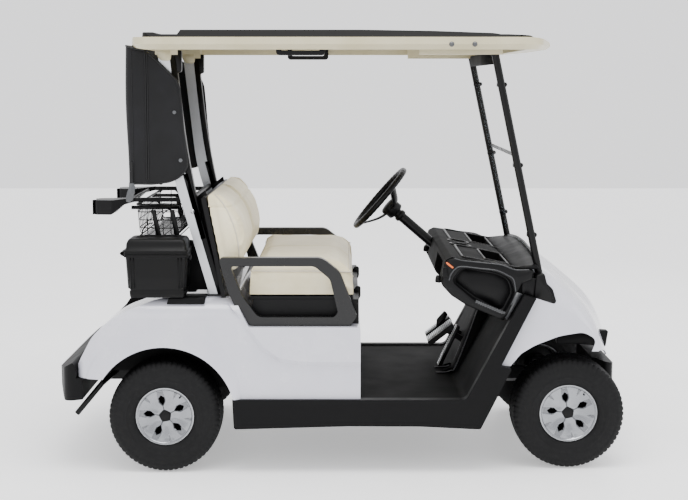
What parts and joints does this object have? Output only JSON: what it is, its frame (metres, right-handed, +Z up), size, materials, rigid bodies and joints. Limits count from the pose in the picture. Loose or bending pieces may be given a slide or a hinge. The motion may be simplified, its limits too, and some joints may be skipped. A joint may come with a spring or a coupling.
{
  "type": "golf cart",
  "caption": "Two-seat golf cart with a flat roof, moulded body, side hip restraints, bag cover and cooler box; wheels roll, the front pair steers, seat and cooler lid lift.",
  "frame": {"origin": "on the floor under the middle of the whole cart's box", "axes": "+X forward along the cart, +Y to the driver's side, +Z up"},
  "size_m": [2.36, 1.204, 1.7799],
  "materials": {
    "steel_black": "satin",
    "cast_grey": "rough",
    "spring_steel": "satin",
    "black_plastic": "grained",
    "body_white": "gloss",
    "trim_black": "satin",
    "cream_vinyl": "soft grain",
    "strut_silver": "satin",
    "clear_pane": "clear",
    "roof_beige": "gloss",
    "roof_dark": "gloss",
    "cover_vinyl": "matt grain",
    "wire_black": "satin",
    "rubber_tyre": "matt",
    "rim_silver": "satin"
  },
  "bodies": {
    "chassis": {"frame_rails": "steel_black", "cross_members": "steel_black", "engine": "cast_grey", "rear_axle": "cast_grey", "rear_springs": "spring_steel", "front_axle": "steel_black", "floor_pan": "black_plastic", "sill_left": "black_plastic", "sill_right": "black_plastic", "rear_body": "body_white", "bag_well": "black_plastic", "wheel_liners": "black_plastic", "front_cowl": "body_white", "front_bumper": "black_plastic", "grab_handles": "trim_black", "exhaust_pipe": "steel_black", "rear_bumper": "black_plastic", "dash": "black_plastic", "seat_base": "trim_black", "seat_back_left": "cream_vinyl", "seat_back_right": "cream_vinyl", "seat_back_shell": "trim_black", "hip_restraint_left": "trim_black", "hip_restraint_right": "trim_black", "rear_strut_left": "strut_silver", "rear_strut_right": "strut_silver", "front_struts": "steel_black", "windshield": "clear_pane", "roof_edge": "roof_beige", "roof_top": "roof_dark", "roof_brackets": "roof_beige", "bag_cover": "cover_vinyl", "bag_rack": "trim_black", "basket": "wire_black", "cooler_box": "black_plastic", "steering_column": "steel_black", "pedals": "steel_black"},
    "seat": {"cushion_tray": "trim_black", "seat_cushion": "cream_vinyl"},
    "cooler_lid": {"cooler_lid": "black_plastic"},
    "steering_wheel": {"steering_wheel": "trim_black"},
    "knuckle_left": {"knuckle_left": "cast_grey"},
    "knuckle_right": {"knuckle_right": "cast_grey"},
    "tie_rod": {"tie_rod": "steel_black"},
    "wheel_front_left": {"tyre_front_left": "rubber_tyre", "rim_front_left": "rim_silver"},
    "wheel_front_right": {"tyre_front_right": "rubber_tyre", "rim_front_right": "rim_silver"},
    "wheel_rear_left": {"tyre_rear_left": "rubber_tyre", "rim_rear_left": "rim_silver"},
    "wheel_rear_right": {"tyre_rear_right": "rubber_tyre", "rim_rear_right": "rim_silver"}
  },
  "joints": [
    {"name": "steer_left", "type": "hinge", "parent": "chassis", "child": "knuckle_left", "pos_m": [0.93, 0.372, 0.2285], "axis": [0, 0, 1], "range_deg": [-30, 30]},
    {"name": "steer_right", "type": "hinge", "parent": "chassis", "child": "knuckle_right", "pos_m": [0.93, -0.372, 0.2285], "axis": [0, 0, 1], "range_deg": [-30, 30]},
    {"name": "spin_front_left", "type": "hinge", "parent": "knuckle_left", "child": "wheel_front_left", "pos_m": [0.93, 0.435, 0.2285], "axis": [0, 1, 0], "continuous": true},
    {"name": "spin_front_right", "type": "hinge", "parent": "knuckle_right", "child": "wheel_front_right", "pos_m": [0.93, -0.435, 0.2285], "axis": [0, 1, 0], "continuous": true},
    {"name": "spin_rear_left", "type": "hinge", "parent": "chassis", "child": "wheel_rear_left", "pos_m": [-0.71, 0.488, 0.2285], "axis": [0, 1, 0], "continuous": true},
    {"name": "spin_rear_right", "type": "hinge", "parent": "chassis", "child": "wheel_rear_right", "pos_m": [-0.71, -0.488, 0.2285], "axis": [0, 1, 0], "continuous": true},
    {"name": "steering_wheel_turn", "type": "hinge", "parent": "chassis", "child": "steering_wheel", "pos_m": [0.24, 0.262, 0.99], "axis": [-0.757, 0, 0.6534], "range_deg": [-360, 360]},
    {"name": "seat_tip", "type": "hinge", "parent": "chassis", "child": "seat", "pos_m": [0.074, 0, 0.712], "axis": [0, 1, 0], "range_deg": [0, 32]},
    {"name": "cooler_lid_open", "type": "hinge", "parent": "chassis", "child": "cooler_lid", "pos_m": [-0.872, -0.501, 0.893], "axis": [0, -1, 0], "range_deg": [0, 55]},
    {"name": "tie_rod_pivot", "type": "hinge", "parent": "knuckle_left", "child": "tie_rod", "pos_m": [0.87, 0.372, 0.2025], "axis": [0, 0, 1], "range_deg": [-30, 30]}
  ],
  "couplings": [
    {"joint": "tie_rod_pivot", "follows": "steer_right", "ratio": -1},
    {"joint": "steer_left", "follows": "steer_right", "ratio": 1},
    {"joint": "steering_wheel_turn", "follows": "steer_right", "ratio": 12}
  ]
}
